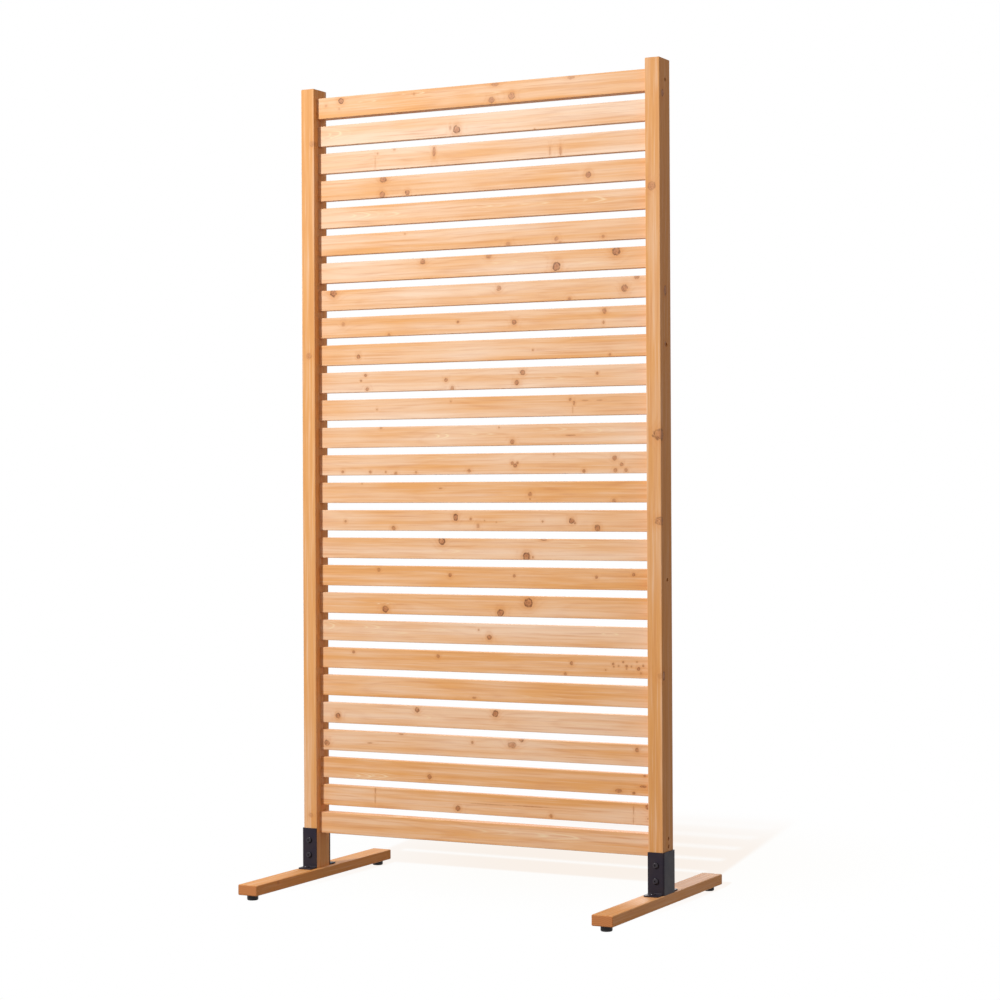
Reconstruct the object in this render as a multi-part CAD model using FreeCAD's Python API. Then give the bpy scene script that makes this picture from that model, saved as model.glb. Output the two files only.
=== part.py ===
# Garden privacy screen: horizontal boards housed between two posts that stand on two cross feet.
# Millimetres, +Z up. The origin is on the ground, midway between the posts and midway in depth.
# The front of the screen faces -Y.
import FreeCAD, Part
import math
import os

# whole screen
overall_height = 1800.0        # ground to the post tops
posts_outside_width = 885.0    # outer face of one post to outer face of the other
top_reveal = 21.0              # post top down to the upper edge of the top rail
bottom_reveal = 79.0           # foot top up to the lower edge of the bottom rail

# posts
post_width = 34.0
post_depth = 55.0
post_easing = 2.0              # rounding of the long edges and of the top

# rails and slats
rail_height = 47.0
rail_thickness = 28.0
slat_count = 25
slat_height = 46.0
slat_thickness = 17.0
board_easing = 1.5             # rounding of the boards' long edges
housing_depth = 8.0            # how far each board end is let into its post
housing_clearance = 0.15       # room around each board end in its housing

# feet
foot_length = 585.0
foot_width = 48.0
foot_height = 23.0
foot_easing = 2.5
foot_margin = 1.5              # how far the foot stands out past the bracket

# steel brackets that clasp the post bottoms
sheet = 3.0
bracket_height = 90.0
bracket_inner_radius = 1.0
tab_length = 25.0
tab_corner = 4.0
tab_bend_radius = 2.0

# through bolts of the brackets
bolt_diameter = 6.0
bolt_hole_clearance = 0.3
bolt_head_diameter = 13.0
bolt_head_height = 4.0
bolt_head_rounding = 2.2
bolt_socket_width = 4.0        # across the flats of the hexagon socket
bolt_socket_depth = 2.2
bolt_top_margin = 26.5         # bracket top down to the upper bolt
bolt_spacing = 33.5
bolt_tail = 2.0                # how far a bolt stands out past its nut
washer_diameter = 12.5
washer_thickness = 1.6
nut_width = 10.0               # across the flats
nut_height = 5.2

# screws that hold the brackets' tabs down on the feet
tab_screw_diameter = 5.0
tab_screw_length = 18.0        # from the underside of the head
tab_screw_clearance = 0.3
tab_head_diameter = 12.0
tab_head_height = 3.0
tab_head_rounding = 1.6
cross_slot_length = 6.0
post_cross_length = 4.0
cross_slot_width = 1.2
cross_slot_depth = 1.3

# screws driven through the posts into the boards' ends
post_screw_diameter = 5.0
post_screw_clearance = 0.3
post_screw_bite = 35.0         # length held in a board's end
post_head_diameter = 7.6
post_head_height = 3.0
post_head_clearance = 0.2
post_head_recess = 5.0         # depth from the post's face to the screw head
post_screw_setback = 2.5       # behind the middle of the post
bottom_screw_spacing = 16.5
bottom_screw_raise = 5.5       # above the middle of the bottom rail
screwed_slat_shares = (0.36, 0.68)

# levelling glides: a steel stem that screws into the foot and turns in a round pad
glide_end_distance = 22.0      # end of the foot to the glide
pad_diameter = 24.5
pad_height = 11.7
pad_top_rounding = 0.8
pad_bottom_rounding = 2.5
pad_gap = 0.3                  # pad top to the foot when the glide is screwed home
pad_floor = 3.5                # plastic under the stem's disc
stem_diameter = 8.0
stem_disc_diameter = 14.0
stem_disc_thickness = 3.0
stem_top_margin = 3.0          # wood left over the stem's hole
stem_hole_clearance = 0.4
running_clearance = 0.05
insert_barrel_diameter = 10.5
insert_length = 11.0
insert_flange_diameter = 20.0
insert_flange_thickness = 1.5

# worked out
foot_bottom_z = pad_height + pad_gap
foot_top_z = foot_bottom_z + foot_height
post_length = overall_height - foot_top_z
post_outer_x = posts_outside_width / 2
post_inner_x = post_outer_x - post_width
board_half_length = post_inner_x + housing_depth
top_rail_z = overall_height - top_reveal - rail_height
bottom_rail_z = foot_top_z + bottom_reveal
slat_space = top_rail_z - bottom_rail_z - rail_height
board_gap = (slat_space - slat_count * slat_height) / (slat_count + 1)
slat_pitch = slat_height + board_gap
bracket_outer_x = post_outer_x + sheet
bracket_middle_x = (post_inner_x + bracket_outer_x) / 2
flange_y = post_depth / 2 + sheet
bracket_top_z = foot_top_z + bracket_height
foot_outer_x = bracket_outer_x + foot_margin
foot_middle_x = foot_outer_x - foot_width / 2
glide_y = foot_length / 2 - glide_end_distance
stem_top_z = foot_top_z - stem_top_margin
cut_margin = 1.0               # how far a cutting tool reaches past the face it cuts

axis_x = FreeCAD.Vector(1, 0, 0)
axis_y = FreeCAD.Vector(0, 1, 0)
axis_z = FreeCAD.Vector(0, 0, 1)


def block(low, high):
    """A box between two corners."""
    size = [b - a for a, b in zip(low, high)]
    return Part.makeBox(size[0], size[1], size[2], FreeCAD.Vector(*low))


def rod(radius, start, direction, length):
    """A round bar from a start point."""
    return Part.makeCylinder(radius, length, FreeCAD.Vector(*start), direction)


def edges_along(shape, direction):
    """The straight edges of a shape that run along a direction."""
    found = []
    for edge in shape.Edges:
        run = edge.Vertexes[-1].Point - edge.Vertexes[0].Point
        if run.Length > 0 and abs(run.normalize().dot(direction)) > 0.999:
            found.append(edge)
    return found


def one_solid(shape):
    """The single solid of a shape."""
    return shape.Solids[0] if len(shape.Solids) == 1 else shape


def mirrored(shape):
    """The left-hand copy of a right-hand shape."""
    return shape.mirror(FreeCAD.Vector(0, 0, 0), axis_x)


def group(shapes):
    """Several separate solids held in one node."""
    return shapes[0] if len(shapes) == 1 else Part.makeCompound(shapes)


def board(height, thickness, low_z, half_length, growth=0.0):
    """A board along X with its long edges eased, or its outline grown for a housing."""
    half = thickness / 2 + growth
    body = block((-half_length, -half, low_z - growth), (half_length, half, low_z + height + growth))
    return body.makeFillet(board_easing, edges_along(body, axis_x))


def board_rows():
    """Name, height, thickness and lower edge of each board, from the top down."""
    rows = [("top_rail", rail_height, rail_thickness, top_rail_z)]
    for number in range(1, slat_count + 1):
        low_z = top_rail_z - number * slat_pitch
        rows.append(("slat_%02d" % number, slat_height, slat_thickness, low_z))
    rows.append(("bottom_rail", rail_height, rail_thickness, bottom_rail_z))
    return rows


def post_screw_heights():
    """Height of each screw that is driven through a post into a board's end."""
    heights = [top_rail_z + rail_height / 2]
    for share in screwed_slat_shares:
        number = round(slat_count * share)
        heights.append(top_rail_z - number * slat_pitch + slat_height / 2)
    bottom_middle = bottom_rail_z + rail_height / 2 + bottom_screw_raise
    heights.append(bottom_middle + bottom_screw_spacing / 2)
    heights.append(bottom_middle - bottom_screw_spacing / 2)
    return heights


def bolt_heights():
    """Heights of the two bolts through a bracket and its post."""
    upper = bracket_top_z - bolt_top_margin
    return [upper, upper - bolt_spacing]


def cross_recess(length, x, y, z, direction):
    """The cross-shaped driver recess of a screw head whose top is at a point."""
    half = length / 2
    thin = cross_slot_width / 2
    arms = [block((-half, -thin, -cross_slot_depth), (half, thin, cut_margin)),
            block((-thin, -half, -cross_slot_depth), (thin, half, cut_margin))]
    cross = arms[0].fuse(arms[1])
    cross.Placement = FreeCAD.Placement(FreeCAD.Vector(x, y, z), FreeCAD.Rotation(axis_z, direction))
    return cross


def post_screw(height):
    """One countersunk screw along -X, from its recess in the right post into a board."""
    head_x = post_outer_x - post_head_recess
    tip_x = board_half_length - post_screw_bite
    point = post_screw_diameter
    place = FreeCAD.Vector(head_x, post_screw_setback, height)
    head = Part.makeCone(post_head_diameter / 2, post_screw_diameter / 2, post_head_height, place, -axis_x)
    shank_start = (head_x - post_head_height, post_screw_setback, height)
    shank_length = shank_start[0] - tip_x - point
    shank = rod(post_screw_diameter / 2, shank_start, -axis_x, shank_length)
    tip_place = FreeCAD.Vector(tip_x + point, post_screw_setback, height)
    tip = Part.makeCone(post_screw_diameter / 2, 0, point, tip_place, -axis_x)
    cross = cross_recess(post_cross_length, head_x, post_screw_setback, height, axis_x)
    return one_solid(head.fuse([shank, tip]).removeSplitter().cut(cross))


def post_screw_hole(height):
    """The hole for one such screw: a recess, a countersink and a clearance hole."""
    head_x = post_outer_x - post_head_recess
    recess = rod(post_head_diameter / 2 + post_head_clearance,
                 (head_x, post_screw_setback, height), axis_x, post_head_recess + cut_margin)
    place = FreeCAD.Vector(head_x, post_screw_setback, height)
    sink = Part.makeCone(post_head_diameter / 2 + post_head_clearance,
                         post_screw_diameter / 2 + post_screw_clearance, post_head_height, place, -axis_x)
    through = rod(post_screw_diameter / 2 + post_screw_clearance,
                  (head_x, post_screw_setback, height), -axis_x, head_x - board_half_length + cut_margin)
    return recess.fuse([sink, through])


def board_screw_holes(height):
    """Pilot holes in both ends of a board for a screw at one height."""
    tip_x = board_half_length - post_screw_bite
    right = rod(post_screw_diameter / 2, (tip_x, post_screw_setback, height), axis_x,
                post_screw_bite + cut_margin)
    return [right, mirrored(right)]


def finished_board(row):
    """A board with the pilot holes of the screws that meet it."""
    name, height, thickness, low_z = row
    body = board(height, thickness, low_z, board_half_length)
    tools = []
    for screw_z in post_screw_heights():
        if low_z < screw_z < low_z + height:
            tools += board_screw_holes(screw_z)
    return one_solid(body.cut(tools)) if tools else body


def right_post():
    """A post with a housing for every board, bolt holes and screw holes."""
    half = post_depth / 2
    body = block((post_inner_x, -half, foot_top_z), (post_outer_x, half, overall_height))
    top_edges = [edge for edge in body.Edges if edge.BoundBox.ZMin > overall_height - cut_margin]
    body = body.makeFillet(post_easing, edges_along(body, axis_z) + top_edges)
    floor_x = board_half_length + housing_clearance
    tools = [board(height, thickness, low_z, floor_x, housing_clearance)
             for name, height, thickness, low_z in board_rows()]
    tools += [post_screw_hole(height) for height in post_screw_heights()]
    for height in bolt_heights():
        tools.append(rod(bolt_diameter / 2 + bolt_hole_clearance,
                         (bracket_middle_x, -half - cut_margin, height), axis_y, post_depth + 2 * cut_margin))
    return one_solid(body.cut(tools))


def right_bracket():
    """Bent sheet: a web on the post's outer side, a flange on its front and back, and two tabs."""
    half = post_depth / 2
    outer = block((post_inner_x, -flange_y, foot_top_z), (bracket_outer_x, flange_y, bracket_top_z))
    outer_edges = [edge for edge in edges_along(outer, axis_z) if edge.BoundBox.XMin > post_outer_x]
    outer = outer.makeFillet(bracket_inner_radius + sheet, outer_edges)
    inner = block((post_inner_x - cut_margin, -half, foot_top_z - cut_margin),
                  (post_outer_x, half, bracket_top_z + cut_margin))
    inner_edges = [edge for edge in edges_along(inner, axis_z) if edge.BoundBox.XMin > post_inner_x]
    inner = inner.makeFillet(bracket_inner_radius, inner_edges)
    body = outer.cut(inner)
    flat_x = bracket_outer_x - bracket_inner_radius - sheet
    for side in (-1, 1):
        near, far = sorted((side * half, side * (flange_y + tab_length)))
        tab = block((post_inner_x, near, foot_top_z), (flat_x, far, foot_top_z + sheet))
        tip_edges = [edge for edge in edges_along(tab, axis_z) if abs(edge.BoundBox.YMin) > flange_y]
        body = body.fuse(tab.makeFillet(tab_corner, tip_edges))
    body = body.removeSplitter()
    bends = []
    for edge in edges_along(body, axis_x):
        box = edge.BoundBox
        at_bend = abs(abs(box.YMin) - flange_y) < 0.01 and abs(box.ZMin - foot_top_z - sheet) < 0.01
        if at_bend:
            bends.append(edge)
    body = body.makeFillet(tab_bend_radius, bends)
    tools = []
    for height in bolt_heights():
        tools.append(rod(bolt_diameter / 2 + bolt_hole_clearance,
                         (bracket_middle_x, -flange_y - cut_margin, height), axis_y,
                         2 * (flange_y + cut_margin)))
    for place in tab_screw_places():
        tools.append(rod(tab_screw_diameter / 2 + tab_screw_clearance,
                         (place[0], place[1], foot_top_z - cut_margin), axis_z, sheet + 2 * cut_margin))
    return one_solid(body.cut(tools))


def tab_screw_places():
    """Where the screws of the two tabs stand, in plan."""
    middle_y = flange_y + (tab_length + tab_bend_radius) / 2
    middle_x = (post_inner_x + bracket_outer_x - bracket_inner_radius - sheet) / 2
    return [(middle_x, -middle_y), (middle_x, middle_y)]


def hexagon(width, height, place, direction):
    """A six-sided prism, given across its flats."""
    radius = width / math.sqrt(3)
    corners = [FreeCAD.Vector(radius * math.cos(math.radians(60 * k)), radius * math.sin(math.radians(60 * k)), 0)
               for k in range(7)]
    prism = Part.Face(Part.makePolygon(corners)).extrude(FreeCAD.Vector(0, 0, height))
    prism.Placement = FreeCAD.Placement(FreeCAD.Vector(*place), FreeCAD.Rotation(axis_z, direction))
    return prism


def domed_head(diameter, height, rounding, place, direction):
    """A low round head with a rounded rim; place is its underside."""
    head = rod(diameter / 2, place, direction, height)
    top = [edge for edge in head.Edges
           if abs((edge.CenterOfMass - FreeCAD.Vector(*place)).dot(direction) - height) < 0.01]
    return head.makeFillet(rounding, top)


def bracket_bolt(height):
    """A button-head bolt from the front flange to past its nut at the back."""
    place = (bracket_middle_x, -flange_y, height)
    head = domed_head(bolt_head_diameter, bolt_head_height, bolt_head_rounding, place, -axis_y)
    length = 2 * flange_y + washer_thickness + nut_height + bolt_tail
    shank = rod(bolt_diameter / 2, place, axis_y, length)
    socket_y = -flange_y - bolt_head_height + bolt_socket_depth
    socket = hexagon(bolt_socket_width, bolt_socket_depth + cut_margin,
                     (bracket_middle_x, socket_y, height), -axis_y)
    return one_solid(head.fuse(shank).removeSplitter().cut(socket))


def bolt_washer(height):
    """The flat washer under one nut."""
    place = (bracket_middle_x, flange_y, height)
    disc = rod(washer_diameter / 2, place, axis_y, washer_thickness)
    return disc.cut(rod(bolt_diameter / 2, place, axis_y, washer_thickness))


def bolt_nut(height):
    """The hexagon nut of one bolt."""
    place = (bracket_middle_x, flange_y + washer_thickness, height)
    body = hexagon(nut_width, nut_height, place, axis_y)
    return body.cut(rod(bolt_diameter / 2, place, axis_y, nut_height))


def tab_screw(place):
    """A round-head wood screw through a tab into the foot."""
    seat = (place[0], place[1], foot_top_z + sheet)
    head = domed_head(tab_head_diameter, tab_head_height, tab_head_rounding, seat, axis_z)
    point = tab_screw_diameter
    shank = rod(tab_screw_diameter / 2, seat, -axis_z, tab_screw_length - point)
    tip_place = FreeCAD.Vector(place[0], place[1], seat[2] - tab_screw_length + point)
    tip = Part.makeCone(tab_screw_diameter / 2, 0, point, tip_place, -axis_z)
    cross = cross_recess(cross_slot_length, place[0], place[1], seat[2] + tab_head_height, axis_z)
    return one_solid(head.fuse([shank, tip]).removeSplitter().cut(cross))


def right_foot():
    """A cross foot with pilot holes for the tab screws and a stepped hole over each glide."""
    half = foot_length / 2
    body = block((foot_outer_x - foot_width, -half, foot_bottom_z), (foot_outer_x, half, foot_top_z))
    body = body.makeFillet(foot_easing, body.Edges)
    tools = []
    for place in tab_screw_places():
        depth = tab_screw_length - sheet
        tools.append(rod(tab_screw_diameter / 2, (place[0], place[1], foot_top_z - depth), axis_z,
                         depth + cut_margin))
    for side in (-1, 1):
        start = (foot_middle_x, side * glide_y, foot_bottom_z)
        tools.append(rod(insert_flange_diameter / 2, start, axis_z, insert_flange_thickness))
        tools.append(rod(insert_barrel_diameter / 2, start, axis_z, insert_length))
        tools.append(rod(stem_diameter / 2 + stem_hole_clearance, start, axis_z,
                         stem_top_z + stem_hole_clearance - foot_bottom_z))
    return one_solid(body.cut(tools))


def glide_insert(x, y):
    """A flanged threaded insert let into the underside of a foot."""
    start = (x, y, foot_bottom_z)
    flange = rod(insert_flange_diameter / 2, start, axis_z, insert_flange_thickness)
    barrel = rod(insert_barrel_diameter / 2, start, axis_z, insert_length)
    bore = rod(stem_diameter / 2 + running_clearance, start, axis_z, insert_length)
    return one_solid(flange.fuse(barrel).removeSplitter().cut(bore))


def glide_stem(x, y):
    """The stem of a glide: a round shank on a disc that sits inside the pad."""
    disc = rod(stem_disc_diameter / 2, (x, y, pad_floor), axis_z, stem_disc_thickness)
    shank = rod(stem_diameter / 2, (x, y, pad_floor), axis_z, stem_top_z - pad_floor)
    return one_solid(disc.fuse(shank).removeSplitter())


def glide_pad(x, y):
    """The round pad of a glide, hollow where it holds the stem's disc."""
    body = rod(pad_diameter / 2, (x, y, 0), axis_z, pad_height)
    top = [edge for edge in body.Edges if edge.BoundBox.ZMin > pad_height - 0.01]
    body = body.makeFillet(pad_top_rounding, top)
    bottom = [edge for edge in body.Edges if edge.BoundBox.ZMax < 0.01]
    body = body.makeFillet(pad_bottom_rounding, bottom)
    seat = rod(stem_disc_diameter / 2 + running_clearance, (x, y, pad_floor - running_clearance), axis_z,
               stem_disc_thickness + 2 * running_clearance)
    neck = rod(stem_diameter / 2 + running_clearance, (x, y, pad_floor), axis_z, pad_height)
    return one_solid(body.cut([seat, neck]))


def both_sides(name, right_shape, nodes):
    """Adds a right-hand piece and its mirror image."""
    nodes["right_" + name] = right_shape
    nodes["left_" + name] = mirrored(right_shape)


def make_nodes():
    """Every piece of the screen by its node name."""
    nodes = {row[0]: finished_board(row) for row in board_rows()}
    both_sides("post", right_post(), nodes)
    both_sides("post_screws", group([post_screw(height) for height in post_screw_heights()]), nodes)
    both_sides("bracket", right_bracket(), nodes)
    both_sides("bracket_bolts", group([bracket_bolt(height) for height in bolt_heights()]), nodes)
    both_sides("bolt_washers", group([bolt_washer(height) for height in bolt_heights()]), nodes)
    both_sides("bolt_nuts", group([bolt_nut(height) for height in bolt_heights()]), nodes)
    both_sides("tab_screws", group([tab_screw(place) for place in tab_screw_places()]), nodes)
    both_sides("foot", right_foot(), nodes)
    inserts = [glide_insert(foot_middle_x, -glide_y), glide_insert(foot_middle_x, glide_y)]
    both_sides("glide_inserts", group(inserts), nodes)
    for end_name, end in (("front", -1), ("rear", 1)):
        for side_name, side in (("left", -1), ("right", 1)):
            x = side * foot_middle_x
            y = end * glide_y
            nodes["%s_%s_glide_stem" % (end_name, side_name)] = glide_stem(x, y)
            nodes["%s_%s_glide_pad" % (end_name, side_name)] = glide_pad(x, y)
    return nodes


os.makedirs("parts", exist_ok=True)
for node_name, shape in make_nodes().items():
    shape.exportStep("parts/%s.step" % node_name)
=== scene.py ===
import math
import bpy
from mathutils import Matrix, Vector


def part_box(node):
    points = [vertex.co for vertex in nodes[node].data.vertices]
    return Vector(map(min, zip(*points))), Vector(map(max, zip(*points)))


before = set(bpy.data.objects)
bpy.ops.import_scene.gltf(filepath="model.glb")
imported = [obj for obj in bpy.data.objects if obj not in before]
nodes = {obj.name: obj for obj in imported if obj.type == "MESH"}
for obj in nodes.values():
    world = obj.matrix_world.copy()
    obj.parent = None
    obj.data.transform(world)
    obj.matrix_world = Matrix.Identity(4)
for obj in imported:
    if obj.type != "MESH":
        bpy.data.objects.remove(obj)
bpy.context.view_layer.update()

print("frame loaded:", len(nodes), "nodes")

# the camera stands to the right of the middle and looks left, level with the middle of the boards
photoCamera = {
    "place": (2.444, -4.6655, 0.893),
    "turn": 27.19,               # degrees left of straight on
    "tilt": 0.17,                # degrees above level
    "roll": -0.26,               # degrees round the line of sight
    "level": 90.0,               # degrees up from straight down, where an unturned camera looks
    "focalPixels": 2398.0,
    "pictureWidth": 1000.0,      # pixels, and the height is the same
    "sensor": 36.0,              # millimetres
    "riseOfCentre": -0.0189,     # as a share of the picture's width
}


def cameraTurn(view):
    turn = Matrix.Rotation(math.radians(view["turn"]), 3, "Z")
    tilt = Matrix.Rotation(math.radians(view["level"] + view["tilt"]), 3, "X")
    roll = Matrix.Rotation(math.radians(view["roll"]), 3, "Z")
    return turn @ tilt @ roll


def makeCamera(view):
    data = bpy.data.cameras.new("photoCamera")
    camera = bpy.data.objects.new("photoCamera", data)
    bpy.context.collection.objects.link(camera)
    data.sensor_width = view["sensor"]
    data.lens = view["sensor"] * view["focalPixels"] / view["pictureWidth"]
    data.shift_y = view["riseOfCentre"]
    camera.matrix_world = Matrix.Translation(view["place"]) @ cameraTurn(view).to_4x4()
    bpy.context.scene.camera = camera


# the curve from a screen's values to the renderer's linear ones
screenCurve = {"toe": 0.04, "slope": 12.92, "offset": 0.055, "power": 2.4}


def paint(red, green, blue):
    # a colour as a screen shows it, 0 to 255, as the renderer's linear values
    linear = []
    for value in (red, green, blue):
        share = value / 255
        lifted = (share + screenCurve["offset"]) / (1 + screenCurve["offset"])
        low = share / screenCurve["slope"]
        linear.append(lifted ** screenCurve["power"] if share > screenCurve["toe"] else low)
    return linear + [1.0]


class Wire:
    # one value in a shader, so that shader maths reads as plain expressions
    def __init__(self, bench, socket):
        self.bench = bench
        self.socket = socket

    def __add__(self, other):
        return self.bench.maths("ADD", self, other)

    def __radd__(self, other):
        return self.bench.maths("ADD", other, self)

    def __sub__(self, other):
        return self.bench.maths("SUBTRACT", self, other)

    def __rsub__(self, other):
        return self.bench.maths("SUBTRACT", other, self)

    def __mul__(self, other):
        return self.bench.maths("MULTIPLY", self, other)

    def __rmul__(self, other):
        return self.bench.maths("MULTIPLY", other, self)

    def __pow__(self, other):
        return self.bench.maths("POWER", self, other)

    def __rpow__(self, other):
        return self.bench.maths("POWER", other, self)

    def __abs__(self):
        return self.bench.maths("ABSOLUTE", self)

    def output(self, which):
        return Wire(self.bench, self.socket.node.outputs[which])


class Bench:
    # one material on the bench, put together node by node
    def __init__(self, holder):
        holder.use_nodes = True
        self.tree = holder.node_tree
        self.tree.nodes.clear()
        self.holder = holder

    def node(self, kind, settings=None, inputs=None, output=0):
        made = self.tree.nodes.new(kind)
        for key, value in (settings or {}).items():
            setattr(made, key, value)
        for key, value in (inputs or {}).items():
            if isinstance(value, Wire):
                self.tree.links.new(value.socket, made.inputs[key])
            else:
                made.inputs[key].default_value = value
        return Wire(self, made.outputs[output]) if made.outputs else made

    def maths(self, operation, *values, clamp=False):
        settings = {"operation": operation, "use_clamp": clamp}
        return self.node("ShaderNodeMath", settings, dict(enumerate(values)))

    def clamped(self, value):
        return self.maths("ADD", value, 0.0, clamp=True)

    def wave(self, angle):
        # from 0 to 1 and back as the angle goes round
        return self.maths("SINE", angle) * 0.5 + 0.5

    def bell(self, value, narrowness):
        # 1 where the value is 0, falling away to both sides
        return self.maths("EXPONENT", value * value * -narrowness)

    def smooth(self, value, start, end):
        # 0 at start and 1 at end, whichever of them is the larger
        inputs = {"Value": value, "From Min": start, "From Max": end}
        return self.node("ShaderNodeMapRange", {"interpolation_type": "SMOOTHSTEP"}, inputs)

    def blend(self, share, first, second, how="MIX"):
        settings = {"data_type": "RGBA", "blend_type": how}
        return self.node("ShaderNodeMix", settings, {0: share, 6: first, 7: second}, 2)

    def vector(self, x, y, z):
        return self.node("ShaderNodeCombineXYZ", None, {0: x, 1: y, 2: z})

    def vectorMaths(self, operation, *values, output=0):
        settings = {"operation": operation}
        return self.node("ShaderNodeVectorMath", settings, dict(enumerate(values)), output)

    def scaled(self, vector, scale):
        return self.node("ShaderNodeVectorMath", {"operation": "SCALE"}, {0: vector, "Scale": scale})

    def parts(self, vector):
        whole = self.node("ShaderNodeSeparateXYZ", None, {0: vector})
        return [whole.output(index) for index in range(3)]

    def coordinates(self):
        return self.node("ShaderNodeTexCoord", None, None, "Object")

    def noise(self, place, detail=2.0, roughness=0.5):
        inputs = {"Vector": place, "Scale": 1.0, "Detail": detail, "Roughness": roughness}
        return self.node("ShaderNodeTexNoise", None, inputs)

    def bump(self, height, strength, distance):
        inputs = {"Height": height, "Strength": strength, "Distance": distance}
        return self.node("ShaderNodeBump", None, inputs)

    def principled(self, **inputs):
        named = {name.replace("_", " "): value for name, value in inputs.items()}
        return self.node("ShaderNodeBsdfPrincipled", None, named)

    def finish(self, surface, kind="ShaderNodeOutputMaterial"):
        self.node(kind, None, {"Surface": surface})
        return self.holder


def newBench(name):
    return Bench(bpy.data.materials.new(name))


# what the photograph shows on a board's front or on its right-hand side is read off in pixels
frontAxis, sideAxis = 1, 0


def shownAt(view, across, down, axis, level):
    # where a pixel of the photograph meets a flat face, and how many metres a pixel covers there
    middle = view["pictureWidth"] / 2
    rise = middle + view["riseOfCentre"] * view["pictureWidth"] - down
    ray = cameraTurn(view) @ Vector((across - middle, rise, -view["focalPixels"]))
    start = Vector(view["place"])
    reach = (level - start[axis]) / ray[axis]
    return start + ray * reach, reach


def readSpots(spots, axis, level, centre, spread):
    # spots seen in the photograph, each as what turns a place on the board into half sizes from the spot's
    # middle; a spot with a single radius is round on the wood, and spread is how fast it fades inwards
    slant = abs(cameraTurn(photoCamera).col[0][1 - axis])
    found = []
    for across, down, *halfSizes, strength in spots:
        point, pixel = shownAt(photoCamera, across, down, axis, level)
        halfWide = halfSizes[0] * pixel / (slant if len(halfSizes) == 2 else 1)
        halfTall = halfSizes[-1] * pixel
        inverse = Vector((1 / halfWide, 1 / halfWide, 1 / halfTall))
        inverse[axis] = spread / min(halfWide, halfTall)
        found.append((inverse, -(point - centre) * inverse, strength))
    return found


# oiled softwood, planed all round: pale sapwood, honey heartwood and what the knots bring
pine = {
    "pale": paint(250, 222, 194),
    "honey": paint(240, 181, 116),
    "amber": paint(222, 159, 86),
    "latewood": paint(208, 138, 88),
    "cream": paint(255, 234, 194),
    "knotCore": paint(190, 126, 82),
    "knotRim": paint(112, 66, 34),
    "knotStain": paint(220, 148, 78),
    "endGrain": paint(214, 146, 90),
    "endRing": paint(184, 114, 64),
    # the eased edges' paler colour: wear, and a painted highlight along them
    "arrisWearAndHighlight": paint(250, 206, 160),
    "fibreDark": paint(246, 244, 242),
    "fibreLight": paint(255, 255, 255),
    "shine": 0.3,
    "roughness": 0.6,
    "streakRoughness": 0.14,
    "ringRelief": 0.35,
    "fibreRelief": 0.5,
    "bumpStrength": 0.3,
    "bumpHeight": 0.00035,
}
# which way a board's own directions run: along the grain, across it and through it
grainAxes = {"X": (0, 2, 1), "Z": (2, 0, 1), "Y": (1, 0, 2)}

# noises drawn out along the grain: how many to the metre along and across it, detail, roughness, and a
# shift that keeps them apart
grainNoises = {
    "wander": (1.6, 6.0, 3.0, 0.5, 0.0),
    "patch": (4.5, 16.0, 2.0, 0.5, 3.0),
    "streak": (6.0, 240.0, 3.0, 0.6, 0.0),
    "fibre": (45.0, 1500.0, 2.0, 0.5, 0.0),
    "broad": (1.2, 60.0, 2.0, 0.5, 9.0),
    "hair": (5.5, 620.0, 2.0, 0.5, 15.0),
    "bend": (9.0, 50.0, 2.0, 0.5, 5.0),
}
noiseMiddle = 0.5
boardShift = {"first": 1.7, "step": 7.31}      # so that no two boards share their noises


class Board:
    # one piece of timber in a shader: its own directions, and the noises drawn out along its grain
    def __init__(self, bench, low, high, grain, seed):
        self.bench = bench
        self.low = low
        self.high = high
        self.centre = (low + high) / 2
        self.axes = grainAxes[grain]
        coordinates = bench.coordinates()
        self.place = bench.vectorMaths("SUBTRACT", coordinates, self.centre)
        self.facing = bench.parts(coordinates.output("Normal"))[self.axes[0]]
        local = bench.parts(self.place)
        self.along, self.across, self.through = [local[axis] for axis in self.axes]
        self.solid = bench.vector(self.along, self.across, self.through)
        self.shift = boardShift["step"] * seed + boardShift["first"]
        self.noises = {name: self.drawnOut(*settings) for name, settings in grainNoises.items()}

    def drawnOut(self, alongScale, acrossScale, detail, roughness, offset):
        stretched = self.bench.vector(self.along * alongScale + (self.shift + offset),
                                      self.across * acrossScale, self.through * acrossScale)
        return self.bench.noise(stretched, detail, roughness)

    def offsetFrom(self, inverse, shift):
        # how many half sizes away a spot's middle is, as a vector and as a length
        offset = self.bench.vectorMaths("MULTIPLY_ADD", self.place, inverse, shift)
        return offset, self.bench.vectorMaths("LENGTH", offset, output="Value")


# growth rings round the heart of the tree, which lies outside the board
growth = {
    "ringsPerMetre": 165.0,
    "pithAcross": 0.01,
    "pithThrough": 0.045,
    "wanderAcross": 0.05,
    "wanderThrough": 0.04,
    "wanderRings": 1.6,
    "knotRings": 2.2,
    "knotFade": 0.22,
}


def growthRings(board, nearest):
    # the rings wander slowly along the board and swell round each knot
    bench = board.bench
    wander = board.noises["wander"] - noiseMiddle
    across = board.across + wander * growth["wanderAcross"] + growth["pithAcross"]
    through = board.through + wander * growth["wanderThrough"] + growth["pithThrough"]
    radius = bench.vectorMaths("LENGTH", bench.vector(across, through, 0.0), output="Value")
    rings = radius * growth["ringsPerMetre"] + wander * growth["wanderRings"]
    if nearest is not None:
        rings = rings + bench.bell(nearest, growth["knotFade"]) * growth["knotRings"]
    return bench.wave(rings * (2 * math.pi)), radius, wander


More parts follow.
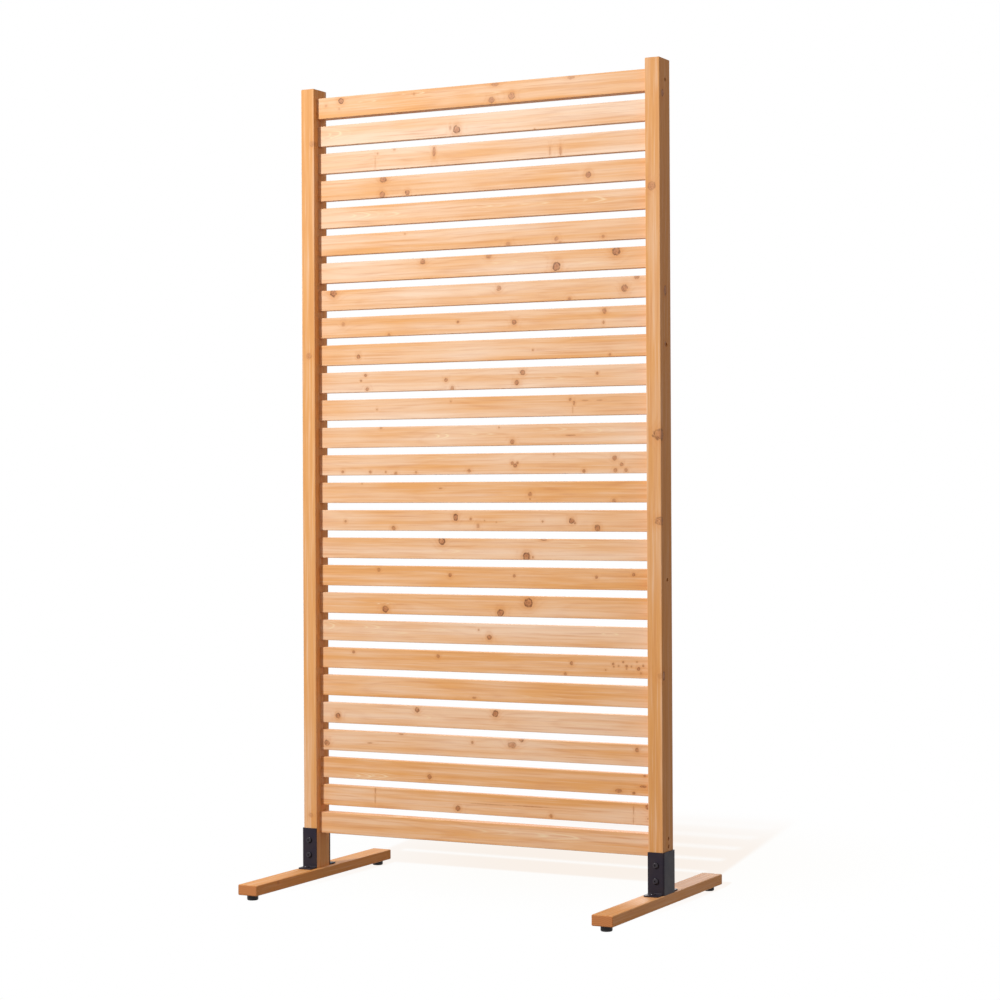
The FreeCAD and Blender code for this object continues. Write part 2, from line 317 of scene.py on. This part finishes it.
# the wood away from knots: patches first, then what runs along the grain
figure = {
    "patchContrast": 1.3,
    "broadContrast": 1.5,
    "amberStart": 0.42,
    "amberContrast": 1.4,
    "lineSharpness": 4.0,
    "lineContrast": 1.8,
    "lineStart": 0.5,
    "lineShare": 0.3,
    "streakContrast": 4.2,
    "darkStart": 0.53,
    "darkShare": 0.42,
    "paleStart": 0.47,
    "paleShare": 0.5,
    "hairRange": (0.6, 0.74),
    "hairPatch": 1.6,
    "hairShare": 0.5,
}


def plainWood(board, look, ring):
    bench = board.bench
    patch, streak, broad, hair = [board.noises[name] for name in ("patch", "streak", "broad", "hair")]
    patches = (patch - noiseMiddle) * figure["patchContrast"]
    honey = patches + (broad - noiseMiddle) * figure["broadContrast"] + look["tone"]
    colour = bench.blend(bench.clamped(honey), pine["pale"], pine["honey"])
    amber = (broad - figure["amberStart"]) * figure["amberContrast"] * look["tone"] + look.get("amber", 0.0)
    colour = bench.blend(bench.clamped(amber), colour, pine["amber"])

    kept = bench.clamped(streak * figure["lineContrast"] - figure["lineStart"])
    lines = (ring ** figure["lineSharpness"]) * kept
    colour = bench.blend(lines * look.get("lines", figure["lineShare"]), colour, pine["latewood"])
    dark = bench.clamped((streak - figure["darkStart"]) * figure["streakContrast"])
    colour = bench.blend(dark * figure["darkShare"], colour, pine["latewood"])
    pale = bench.clamped((figure["paleStart"] - streak) * figure["streakContrast"])
    colour = bench.blend(pale * figure["paleShare"], colour, pine["pale"])
    hairs = bench.smooth(hair, *figure["hairRange"]) * bench.clamped(patch * figure["hairPatch"])
    return bench.blend(hairs * figure["hairShare"], colour, pine["latewood"])


# pale flames: nested arches drawn out along the grain, as where the saw leaves the rings
flame = {
    "share": 0.75,
    "bow": 1.6,
    "bend": 1.8,
    "arches": 6.5,
    "sharpness": 5.0,
    "fade": (1.25, 0.5),
}


def addFlames(board, look, colour):
    bench = board.bench
    bend = (board.noises["bend"] - noiseMiddle) * flame["bend"]
    flames = readSpots(look.get("flames", []), frontAxis, board.low.y, board.centre, 0.0)
    for inverse, shift, strength in flames:
        offset, reach = board.offsetFrom(inverse, shift)
        share = bench.parts(offset)
        tall = share[board.axes[1]]
        arch = bench.wave((share[board.axes[0]] + tall * tall * flame["bow"] + bend) * flame["arches"])
        cream = (arch ** flame["sharpness"]) * bench.smooth(reach, *flame["fade"])
        colour = bench.blend(cream * (strength * flame["share"]), colour, pine["cream"])
    return colour


# knots: a stain in the wood round them, a core with cracks, and a dark broken rim
knotty = {
    "spread": 0.15,
    "sideSpread": 0.4,
    "frayPerMetre": 190.0,
    "frayDetail": 3.0,
    "fray": 0.8,
    "breaksPerMetre": 130.0,
    "breakDetail": 1.0,
    "breakContrast": 3.0,
    "breakStart": 0.6,
    "stainFade": 0.28,
    "stainPatch": 1.8,
    "stainShare": 0.8,
    "coreRange": (1.2, 0.6),
    "coreBreak": 0.5,
    "coreShare": 0.85,
    "coreRoughness": 0.15,
    "rimPlace": 0.95,
    "rimRange": (0.3, 0.05),
    "rimDarkening": 3.0,
    "rimShare": 0.7,
    "rimRelief": 0.9,
    "crackRings": 9.0,
    "crackFray": 22.0,
    "crackSharpness": 4.0,
    "crackShare": 0.6,
}


def readKnots(board, look):
    spread = look.get("spread", knotty["spread"])
    knots = readSpots(look.get("knots", []), frontAxis, board.low.y, board.centre, spread)
    return knots + readSpots(look.get("sideKnots", []), sideAxis, board.high.x, board.centre,
                             knotty["sideSpread"])


def nearestKnot(board, knots):
    # how many radii away the nearest knot is, and how dark that knot is
    bench = board.bench
    nearest, darkness = None, None
    for inverse, shift, dark in knots:
        reach = board.offsetFrom(inverse, shift)[1]
        if nearest is None:
            nearest, darkness = reach, dark
        else:
            closer = bench.maths("LESS_THAN", reach, nearest)
            darkness = darkness * (1 - closer) + closer * dark
            nearest = bench.maths("MINIMUM", reach, nearest)
    return nearest, darkness


def addKnots(board, nearest, darkness, colour, relief, rough):
    bench = board.bench
    frays = bench.noise(bench.scaled(board.solid, knotty["frayPerMetre"]), knotty["frayDetail"])
    fray = frays - noiseMiddle
    breaks = bench.noise(bench.scaled(board.solid, knotty["breaksPerMetre"]), knotty["breakDetail"])
    broken = bench.clamped(breaks * knotty["breakContrast"] - knotty["breakStart"])
    edge = nearest + fray * knotty["fray"]

    patchy = bench.clamped(board.noises["patch"] * knotty["stainPatch"])
    stain = bench.bell(edge, knotty["stainFade"]) * patchy * darkness
    sound = broken * knotty["coreBreak"] + (1 - knotty["coreBreak"])
    core = bench.smooth(edge, *knotty["coreRange"]) * darkness * sound
    rim = bench.smooth(abs(edge - knotty["rimPlace"]), *knotty["rimRange"])
    rim = rim * (darkness ** knotty["rimDarkening"]) * broken
    crack = bench.wave(nearest * knotty["crackRings"] + fray * knotty["crackFray"])
    cracks = core * (crack ** knotty["crackSharpness"]) * knotty["crackShare"]

    colour = bench.blend(stain * knotty["stainShare"], colour, pine["knotStain"])
    colour = bench.blend(core * knotty["coreShare"], colour, pine["knotCore"])
    colour = bench.blend(bench.clamped(cracks + rim * knotty["rimShare"]), colour, pine["knotRim"])
    return colour, relief - rim * knotty["rimRelief"], rough - core * knotty["coreRoughness"]


# the eased edges are painted paler, partly as wear and partly as a painted highlight along them: it starts
# this many metres from the edge and is full this near to it
arrisWearAndHighlight = {"start": 0.0022, "full": 0.0004, "share": 0.35}


def addArrisWearAndHighlight(board, colour):
    bench = board.bench
    nearEdge = 1.0
    for place, axis in ((board.across, board.axes[1]), (board.through, board.axes[2])):
        half = (board.high[axis] - board.low[axis]) / 2
        nearEdge = bench.smooth(abs(place), half - arrisWearAndHighlight["start"], half - arrisWearAndHighlight["full"]) * nearEdge
    # painted highlight and wear: the long edges are blended towards a paler colour
    return bench.blend(nearEdge * arrisWearAndHighlight["share"], colour, pine["arrisWearAndHighlight"])


# end grain, where the board was cut across
ends = {
    "facing": (0.55, 0.8),
    "ringCrowding": 2.6,
    "wander": 5.0,
    "ringShare": 0.6,
    "poresPerMetre": 1300.0,
    "poreShare": 0.25,
    "roughness": 0.15,
}


def addEnds(board, radius, wander, colour, rough):
    bench = board.bench
    sawn = bench.smooth(abs(board.facing), *ends["facing"])
    turns = radius * (growth["ringsPerMetre"] * ends["ringCrowding"] * math.pi)
    rings = bench.wave(turns + wander * ends["wander"])
    pores = bench.noise(bench.scaled(board.solid, ends["poresPerMetre"]))
    share = rings * ends["ringShare"] + pores * ends["poreShare"]
    endColour = bench.blend(share, pine["endGrain"], pine["endRing"])
    return bench.blend(sawn, colour, endColour), rough + sawn * ends["roughness"]


def pineMaterial(name, low, high, grain, look, seed):
    bench = newBench(name)
    board = Board(bench, low, high, grain, seed)
    fibre = board.noises["fibre"]
    nearest, darkness = nearestKnot(board, readKnots(board, look))
    ring, radius, wander = growthRings(board, nearest)
    colour = addFlames(board, look, plainWood(board, look, ring))
    relief = ring * pine["ringRelief"] + fibre * pine["fibreRelief"]
    rough = board.noises["streak"] * pine["streakRoughness"]
    rough = rough + (pine["roughness"] - pine["streakRoughness"] / 2)
    if nearest is not None:
        colour, relief, rough = addKnots(board, nearest, darkness, colour, relief, rough)
    colour, rough = addEnds(board, radius, wander, addArrisWearAndHighlight(board, colour), rough)

    tint = bench.blend(fibre, pine["fibreDark"], pine["fibreLight"])
    colour = bench.blend(1.0, colour, tint, "MULTIPLY")
    normal = bench.bump(relief, pine["bumpStrength"], pine["bumpHeight"])
    return bench.finish(bench.principled(Base_Color=colour, Roughness=rough, Normal=normal,
                                         Specular_IOR_Level=pine["shine"]))


def dress(node, material):
    for slot in nodes[node].material_slots:
        slot.material = material


# each board: tone is how much honey is in it, amber adds to its darkest patches, lines is how strongly its
# rings show and spread how fast its front knots fade inwards. what shows on its front was read in the
# photograph's pixels: knots are (across, down, radius, darkness) or (across, down, half width, half height,
# darkness), and flames (across, down, half width, half height, strength). sideKnots lie on the right-hand
# face
boards = {
    "top_rail": {
        "tone": 0.66,
        "knots": [(341, 101, 2.7, 1.0), (326, 106, 1.5, 0.4), (339, 109, 1.5, 0.3),
                  (414, 94, 1.2, 0.5), (491.5, 100, 3, 0.8), (511.6, 96, 3.3, 0.8),
                  (495, 84.5, 3.5, 1.8, 0.7), (571, 77.5, 3.5, 1.8, 0.6)],
        "flames": [(417, 93, 16, 3, 0.8), (500, 92, 26, 3, 0.5), (371, 101, 14, 2.5, 0.6)]},
    "slat_01": {
        "tone": 0.12,
        "knots": [(456.7, 129.5, 3.5, 1.0), (450.4, 127.7, 1.3, 2.6, 0.5), (534.6, 129.3, 0.8, 0.7)],
        "flames": [(338, 134, 12, 5, 0.9), (330, 138, 9, 3, 0.7), (495, 121, 38, 3, 0.4)]},
    "slat_02": {
        "tone": 0.34,
        "knots": [(394.4, 149.3, 1.3, 0.5), (434.1, 151.8, 1.4, 4.5, 0.8),
                  (375.2, 163.3, 0.8, 6, 0.25), (377.5, 153.6, 0.9, 0.5),
                  (560.4, 150.8, 1.2, 4.5, 0.6), (549.9, 150.8, 1, 4.5, 0.4)]},
    "slat_03": {
        "tone": 0.6,
        "knots": [(383.2, 179.8, 3.2, 2.6, 0.9), (382.1, 194.7, 2.8, 0.9), (407.2, 192.6, 2.3, 0.9),
                  (588.2, 174.7, 2.8, 0.9)]},
    "slat_04": {
        "tone": 0.5,
        "flames": [(364, 215, 16, 5, 0.9), (396, 214, 14, 4, 0.8), (489, 206, 18, 3, 0.6),
                   (540, 203, 20, 3, 0.6), (601, 199, 18, 5, 0.8)]},
    "slat_05": {
        "tone": 0.56,
        "knots": [(405, 234, 1, 0.4), (603, 236.5, 1.5, 0.7), (556.5, 238.8, 2, 0.7),
                  (508, 244.5, 2.5, 0.6), (560, 242.5, 1.5, 0.6)]},
    "slat_06": {
        "tone": 0.5,
        "knots": [(422.8, 261.6, 2.6, 0.8), (488.9, 255.9, 2.8, 0.7), (556.5, 266.4, 4, 1.0),
                  (616.2, 250.9, 4, 1.0)],
        "flames": [(510, 262, 25, 3, 0.4), (590, 262, 30, 4, 0.4)]},
    "slat_07": {
        "tone": 0.48,
        "knots": [(333.5, 293.3, 3.4, 1.0), (498.9, 288.2, 2.4, 0.8), (624.5, 288.2, 3.4, 0.9),
                  (636.9, 276.4, 2.7, 0.8), (569.5, 299.3, 2, 0.7)]},
    "slat_08": {
        "tone": 0.62,
        "knots": [(343.2, 324.2, 2, 0.5), (458, 322, 1.2, 0.9), (388.9, 335, 1.5, 0.7),
                  (514.2, 322.3, 2.4, 0.9), (604.4, 311, 2.3, 0.8), (603.5, 322.3, 1, 1.6, 0.7)]},
    "slat_09": {
        "tone": 0.68,
        "knots": [(358.6, 356.6, 2, 0.9), (532.9, 350, 1, 0.6), (609.8, 354.6, 1.3, 0.7)],
        "flames": [(456, 350, 36, 2.5, 0.4)]},
    "slat_10": {
        "tone": 0.4,
        "knots": [(365.5, 375.4, 1.5, 0.8), (361, 380.8, 1, 0.8), (367.3, 389.3, 1.8, 0.8),
                  (446, 380, 1.8, 0.8), (452.3, 388.3, 2, 0.7), (522.5, 372.4, 2.4, 0.9),
                  (516.8, 382.5, 2.3, 0.9), (597.3, 373.2, 1.2, 0.9)],
        "flames": [(561, 378, 24, 4, 0.4)]},
    "slat_11": {
        "tone": 0.5,
        "knots": [(377, 409.6, 1, 0.5), (450.8, 401.6, 1, 0.5), (570.2, 399.2, 1.4, 0.8),
                  (574, 403, 1, 1.8, 0.8), (572.7, 410, 0.7, 4, 0.3), (585.2, 400.4, 3.2, 0.6, 0.6),
                  (600, 400.2, 3, 0.6, 0.5)]},
    "slat_12": {
        "tone": 0.36,
        "knots": [(381, 427.6, 1.3, 0.6), (499, 427.5, 0.9, 0.6), (512.5, 441.7, 2.3, 0.8),
                  (570.4, 435.3, 5, 0.7, 0.6)],
        "flames": [(443, 436, 9, 4, 1.0), (484, 434, 22, 3, 0.6), (560, 429, 20, 4, 0.5),
                   (596, 430, 20, 5, 0.5)]},
    "slat_13": {
        "tone": 0.5,
        "knots": [(342.8, 472, 1.3, 0.7), (370.3, 472, 1.4, 0.7), (385.8, 472, 1, 0.6),
                  (395.8, 473.6, 1.6, 0.7), (416, 472.3, 1.1, 0.6), (469, 470.9, 1.7, 0.8),
                  (512.2, 463.2, 1.6, 0.8), (515.2, 465.6, 1.9, 0.9), (517.4, 463, 1.2, 0.8),
                  (553.7, 454, 0.9, 1.4, 0.5), (583.9, 471, 1.6, 0.8), (614.6, 458, 2.3, 0.8),
                  (621.6, 464.4, 1.8, 0.8), (615.5, 470.4, 1.8, 0.8), (626, 470, 1.8, 0.7)],
        "flames": [(430, 458, 40, 4, 0.3)]},
    "slat_14": {
        "tone": 0.8,
        "knots": [(362, 483.4, 1, 0.5), (440.4, 488.3, 1.7, 0.8, 0.6), (530, 494.2, 1.9, 0.8),
                  (530, 499, 0.8, 0.8), (614.2, 501, 2, 0.7)]},
    "slat_15": {
        "tone": 0.5,
        "knots": [(345.6, 521.4, 1.2, 0.7), (393.5, 528.2, 2, 0.8), (455.6, 517.3, 2.1, 3, 1.0),
                  (470.7, 518.9, 1.2, 0.7), (478, 526, 1.5, 2.2, 0.6), (484.5, 520.6, 0.7, 0.5),
                  (496.3, 522.3, 0.8, 0.4), (542.6, 521.4, 1.1, 0.7), (571.6, 520.8, 2.6, 1.0),
                  (575, 523, 1.2, 0.8), (597.4, 528, 2.9, 0.9)],
        "flames": [(506, 522, 36, 3, 0.4)]},
    "slat_16": {
        "tone": 0.48,
        "knots": [(441.8, 541.1, 3.5, 1.0), (543.8, 539.4, 3, 1.3, 0.8), (526.5, 556.3, 3.7, 1.0),
                  (532.8, 557.4, 1.1, 0.7)],
        "flames": [(453, 551, 22, 3.5, 0.6), (582, 546, 28, 3, 0.4)]},
    "slat_17": {
        "tone": 0.86,
        "knots": [(378.7, 569.8, 1.7, 0.7), (450.2, 575.2, 1.7, 0.9), (514.4, 575.9, 1.5, 0.8),
                  (596.3, 577, 1.5, 0.9), (633.7, 574.6, 1.7, 0.8)]},
    "slat_18": {
        "tone": 0.66,
        "knots": [(385.4, 609.1, 3.1, 1.0), (528.5, 603, 4.2, 1.0), (500.4, 612.8, 3.3, 1.0)],
        "flames": [(385.5, 603.6, 10, 2.2, 0.8)]},
    "slat_19": {
        "tone": 0.4,
        "knots": [(478.6, 629.9, 1, 0.6), (489.3, 637.4, 2.4, 0.9)],
        "flames": [(332, 626, 9, 5, 0.8), (374, 627, 12, 4, 0.7), (393, 633, 28, 3, 0.5),
                   (440, 630, 20, 3, 0.5), (612, 634, 12, 2, 1.0)]},
    "slat_20": {
        "tone": 0.76,
        "knots": [(353.7, 651.9, 1.5, 0.8), (438.2, 656.3, 1.8, 0.8), (571.6, 663.4, 1.7, 0.9),
                  (565.4, 674, 1.6, 0.7), (605.7, 670, 0.8, 0.6), (613.2, 664, 1.2, 0.9),
                  (613.7, 666.6, 0.9, 0.7), (618.5, 666, 1, 0.6), (623.2, 662.2, 1, 0.8),
                  (626.5, 666.2, 1.2, 0.9), (626.6, 668.8, 0.9, 0.7), (631.4, 666.6, 0.9, 0.6),
                  (638.6, 668.9, 1.6, 0.9), (637, 662, 0.9, 0.6), (643.2, 666, 1.1, 0.7),
                  (641, 673.5, 1.2, 0.5)]},
    "slat_21": {
        "tone": 0.76,
        "knots": [(474.4, 697.8, 1.8, 0.9, 0.7)],
        "flames": [(551, 698, 36, 3, 0.3)]},
    "slat_22": {
        "tone": 0.38,
        "knots": [(338.1, 715.9, 2.6, 1.0), (417.1, 709.8, 2.4, 0.9), (495.3, 713.6, 2.9, 1.0)],
        "flames": [(425, 717, 12, 4, 0.4), (576, 725, 36, 3, 0.3)]},
    "slat_23": {
        "tone": 0.55,
        "knots": [(327, 742.7, 2.8, 0.9), (401.3, 733.7, 2.4, 1.1, 0.7), (370, 743, 2.8, 0.7, 0.5),
                  (472.3, 742.4, 1.4, 0.7), (521.5, 739.8, 2.4, 0.9), (512, 745, 4, 3, 0.7),
                  (637, 750, 2, 0.8)]},
    "slat_24": {
        "tone": 0.76,
        "knots": [(429.6, 776.8, 2.1, 0.9), (644.8, 775.6, 1.5, 0.7), (643.3, 786.7, 3, 1, 0.9),
                  (618.8, 791, 3, 1.8, 0.8), (634, 793.3, 1.3, 1.0)],
        "flames": [(366, 776, 14, 4, 0.9), (383, 776, 14, 4, 0.8)]},
    "slat_25": {
        "tone": 0.76,
        "knots": [(375.4, 790, 0.6, 3.5, 0.6), (375.2, 799, 0.5, 4.5, 0.5), (458, 808.3, 2.5, 0.9),
                  (490, 804.5, 18, 0.5, 0.5), (530, 806.5, 16, 0.5, 0.6), (551, 816, 1.5, 0.8),
                  (633.6, 810, 0.6, 4.5, 0.5), (633.4, 821, 0.5, 4, 0.4), (648, 807, 2.5, 0.9),
                  (648.7, 819, 1, 0.9)]},
    "bottom_rail": {
        "tone": 0.76, "lines": 0.5,
        "flames": [(562, 837, 30, 5, 0.9), (500, 832, 30, 4, 0.5), (395, 816, 50, 4, 0.6)]},
}
uprights = {
    "left_post": {
        "tone": 0.95, "amber": 0.38, "spread": 0.35,
        "knots": [(312, 144, 3, 0.55), (309, 356, 3, 0.55), (311, 815, 2.5, 0.4)]},
    "right_post": {
        "tone": 0.95, "amber": 0.45, "spread": 0.35,
        "knots": [(651.6, 185.8, 4, 0.7), (657.6, 434, 3.2, 0.55), (659.5, 521, 2.4, 0.3),
                  (660.5, 676, 3, 0.3)],
        "sideKnots": [(662.4, 92.7, 1.2, 3.6, 0.9), (665.2, 290.4, 1.3, 4.5, 0.9),
                      (665.5, 344, 1, 2.4, 0.8), (661.7, 434.5, 1.6, 5.5, 0.9),
                      (661.7, 521, 1.3, 4, 0.8), (663.8, 676, 1.3, 4, 0.9)]},
}
feet = {
    "left_foot": {"tone": 0.95, "amber": 0.85, "sideKnots": [(278.3, 882.4, 1.8, 0.5)]},
    "right_foot": {"tone": 0.95, "amber": 0.65, "sideKnots": [(631, 910.5, 1.5, 0.4)]},
}


def dressWood():
    seed = 1
    for group, grain in ((boards, "X"), (uprights, "Z"), (feet, "Y")):
        for node, look in group.items():
            low, high = [Vector(corner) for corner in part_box(node)]
            dress(node, pineMaterial(node + "Pine", low, high, grain, look, seed))
            seed += 1


# powder coat on the folded brackets, and the blackened screws that hold them
blackCoat = {
    "warm": paint(52, 46, 52),
    "cool": paint(38, 35, 50),
    "shine": 0.14,
    "screwShine": 0.3,
    "roughness": 0.46,
    "screwRoughness": 0.17,
    "cloudsPerMetre": 30.0,
    "cloudDetail": 3.0,
    "cloudContrast": 2.0,
    "cloudStart": 0.5,
    "cloudRoughness": 0.12,
    "peelPerMetre": 900.0,
    "peelRoughness": 0.08,
    "bumpStrength": 0.2,
    "bumpHeight": 0.0003,
}


def coatMaterial(name, roughness, shine):
    bench = newBench(name)
    place = bench.coordinates()
    peel = bench.noise(bench.scaled(place, blackCoat["peelPerMetre"]))
    cloud = bench.noise(bench.scaled(place, blackCoat["cloudsPerMetre"]), blackCoat["cloudDetail"])
    share = bench.clamped(cloud * blackCoat["cloudContrast"] - blackCoat["cloudStart"])
    colour = bench.blend(share, blackCoat["warm"], blackCoat["cool"])
    least = roughness - (blackCoat["cloudRoughness"] + blackCoat["peelRoughness"]) / 2
    rough = cloud * blackCoat["cloudRoughness"] + peel * blackCoat["peelRoughness"] + least
    normal = bench.bump(peel, blackCoat["bumpStrength"], blackCoat["bumpHeight"])
    return bench.finish(bench.principled(Base_Color=colour, Roughness=rough, Normal=normal,
                                         Specular_IOR_Level=shine))


# zinc plate on the washers, nuts, post screws, inserts and stems
zincPlate = {
    "bright": paint(196, 194, 186),
    "dull": paint(132, 128, 118),
    "metallic": 0.95,
    "leastRoughness": 0.24,
    "crystalsPerMetre": 420.0,
    "crystalShare": 0.5,
    "scratchesPerMetre": 700.0,
    "scratchDetail": 4.0,
    "scratchShare": 0.6,
    "scratchRoughness": 0.22,
    "darker": 0.1,
    "bumpStrength": 0.12,
    "bumpHeight": 0.0002,
}


def zincMaterial(name):
    bench = newBench(name)
    place = bench.coordinates()
    cells = bench.scaled(place, zincPlate["crystalsPerMetre"])
    crystals = bench.parts(bench.node("ShaderNodeTexVoronoi", None, {"Vector": cells}, "Color"))[0]
    scratches = bench.noise(bench.scaled(place, zincPlate["scratchesPerMetre"]), zincPlate["scratchDetail"])
    shade = crystals * zincPlate["crystalShare"] + scratches * zincPlate["scratchShare"]
    colour = bench.blend(bench.clamped(shade - zincPlate["darker"]), zincPlate["dull"], zincPlate["bright"])
    rough = scratches * zincPlate["scratchRoughness"] + zincPlate["leastRoughness"]
    normal = bench.bump(scratches, zincPlate["bumpStrength"], zincPlate["bumpHeight"])
    return bench.finish(bench.principled(Base_Color=colour, Roughness=rough, Metallic=zincPlate["metallic"],
                                         Normal=normal))


# moulded black plastic of the glides, scuffed where they slide on the floor
glidePlastic = {
    "black": paint(27, 25, 28),
    "scuffed": paint(60, 57, 56),
    "shine": 0.3,
    "roughness": 0.5,
    "grainPerMetre": 1500.0,
    "grainRoughness": 0.14,
    "scuffHeight": 0.0025,
    "scuffRoughness": 0.25,
    "marksPerMetre": 320.0,
    "markDetail": 3.0,
    "markContrast": 2.0,
    "markStart": 0.4,
    "bumpStrength": 0.25,
    "bumpHeight": 0.0002,
}


def plasticMaterial(name):
    bench = newBench(name)
    place = bench.coordinates()
    height = bench.parts(place)[2]
    grain = bench.noise(bench.scaled(place, glidePlastic["grainPerMetre"]))
    marks = bench.noise(bench.scaled(place, glidePlastic["marksPerMetre"]), glidePlastic["markDetail"])
    marked = bench.clamped(marks * glidePlastic["markContrast"] - glidePlastic["markStart"])
    scuff = bench.smooth(height, glidePlastic["scuffHeight"], 0.0) * marked
    colour = bench.blend(scuff, glidePlastic["black"], glidePlastic["scuffed"])
    least = glidePlastic["roughness"] - glidePlastic["grainRoughness"] / 2
    rough = scuff * glidePlastic["scuffRoughness"] + grain * glidePlastic["grainRoughness"] + least
    normal = bench.bump(grain, glidePlastic["bumpStrength"], glidePlastic["bumpHeight"])
    return bench.finish(bench.principled(Base_Color=colour, Roughness=rough, Normal=normal,
                                         Specular_IOR_Level=glidePlastic["shine"]))


def dressFittings():
    coat = coatMaterial("bracketCoat", blackCoat["roughness"], blackCoat["shine"])
    screwCoat = coatMaterial("screwCoat", blackCoat["screwRoughness"], blackCoat["screwShine"])
    zinc = zincMaterial("zincPlate")
    plastic = plasticMaterial("glidePlastic")
    finishes = (
        (coat, ("_bracket",)),
        (screwCoat, ("_bracket_bolts", "_tab_screws")),
        (plastic, ("_pad",)),
        (zinc, ("_bolt_washers", "_bolt_nuts", "_post_screws", "_inserts", "_stem")),
    )
    for node in nodes:
        for material, endings in finishes:
            if node.endswith(endings):
                dress(node, material)


# a white floor and backdrop, a key lamp high on the left, a soft fill behind, and a low lamp for the
# boards' shadow; near the object the floor glows in a painted warm shade colour that the low lamp lifts to
# white where it is not shadowed
studio = {
    "white": [1.0, 1.0, 1.0, 1.0],
    "floorSize": 40.0,
    "bounce": paint(104, 92, 88),
    "lit": paint(56, 92, 110),           # what the low lamp adds near the object, on top of the glow
    # painted warm shade: the floor's own glow near the object, in the colour its shadowed stripes show
    "warmShadeGlow": paint(248, 237, 228),
    "shadowCentre": (0.0, 0.6, 0.0),
    "shadowReach": (0.2, 0.95),
    "skyLight": 0.4,
    "skyTint": paint(255, 230, 210),
    "aim": (0.0, 0.0, 0.9),
    "keyPlace": (-2.0, -3.85, 3.2),
    "keySize": 0.46,
    "keyPower": 200.0,
    "fillPlace": (-1.4, 4.4, 2.3),
    "fillSize": 1.6,
    "fillPower": 75.0,
    "lowPlace": (0.97, -5.86, 1.97),
    "lowAim": (0.0, 0.0, 0.0),
    "lowAngle": 1.3,
    "lowStrength": 9.9,
}


def makeFloor():
    bpy.ops.mesh.primitive_plane_add(size=studio["floorSize"], location=(0, 0, 0))
    floor = bpy.context.object
    floor.name = "studioFloor"
    bench = newBench("studioFloor")
    rays = bench.node("ShaderNodeLightPath")
    seen = bench.maths("MAXIMUM", rays, rays.output("Is Glossy Ray"))
    bounce = bench.node("ShaderNodeBsdfDiffuse", None, {"Color": studio["bounce"]})
    lit = bench.node("ShaderNodeBsdfDiffuse", None, {"Color": studio["lit"]})
    # painted warm shade: near the object the floor glows in the colour of its shadow, and the low lamp's
    # light adds the rest up to white
    warmShadeGlow = bench.node("ShaderNodeEmission", None, {"Color": studio["warmShadeGlow"]})
    near = bench.node("ShaderNodeAddShader", None, {0: lit, 1: warmShadeGlow})
    white = bench.node("ShaderNodeEmission", None, {"Color": studio["white"]})
    away = bench.vectorMaths("DISTANCE", bench.coordinates(), studio["shadowCentre"], output="Value")
    far = bench.smooth(away, *studio["shadowReach"])
    shown = bench.node("ShaderNodeMixShader", None, {0: far, 1: near, 2: white})
    bench.finish(bench.node("ShaderNodeMixShader", None, {0: seen, 1: bounce, 2: shown}))
    floor.data.materials.append(bench.holder)
    return floor


def makeSky():
    # white where it is seen or mirrored, dimmer and warm where it lights the object
    world = bpy.data.worlds.new("studioSky")
    bpy.context.scene.world = world
    bench = Bench(world)
    rays = bench.node("ShaderNodeLightPath")
    seen = bench.maths("MAXIMUM", rays, rays.output("Is Glossy Ray"))
    seen = bench.maths("MAXIMUM", seen, rays.output("Is Transmission Ray"))
    strength = seen * (1 - studio["skyLight"]) + studio["skyLight"]
    colour = bench.blend(seen, studio["skyTint"], studio["white"])
    bench.finish(bench.node("ShaderNodeBackground", None, {"Color": colour, "Strength": strength}),
                 "ShaderNodeOutputWorld")


def newLamp(name, kind, place, aim):
    lamp = bpy.data.objects.new(name, bpy.data.lights.new(name, kind))
    bpy.context.collection.objects.link(lamp)
    lamp.location = place
    lamp.rotation_euler = (Vector(aim) - Vector(place)).to_track_quat("-Z", "Y").to_euler()
    return lamp


def linkFloor(lamp, floor, state):
    # the key and fill lamps leave the floor out, the low lamp lights nothing else
    group = bpy.data.collections.new(lamp.name + "Floor")
    group.objects.link(floor)
    group.collection_objects[0].light_linking.link_state = state
    lamp.light_linking.receiver_collection = group


def softLamp(name, part, floor):
    lamp = newLamp(name, "AREA", studio[part + "Place"], studio["aim"])
    lamp.data.shape = "DISK"
    lamp.data.size = studio[part + "Size"]
    lamp.data.energy = studio[part + "Power"]
    linkFloor(lamp, floor, "EXCLUDE")


def makeStudio():
    floor = makeFloor()
    makeSky()
    softLamp("keyLamp", "key", floor)
    softLamp("fillLamp", "fill", floor)
    low = newLamp("lowLamp", "SUN", studio["lowPlace"], studio["lowAim"])
    low.data.angle = math.radians(studio["lowAngle"])
    low.data.energy = studio["lowStrength"]
    linkFloor(low, floor, "INCLUDE")
    bpy.context.scene.view_settings.view_transform = "Standard"


makeCamera(photoCamera)
dressWood()
print("boards, posts and feet dressed")
dressFittings()
print("brackets, fasteners and glides dressed")
makeStudio()
print("studio lit")
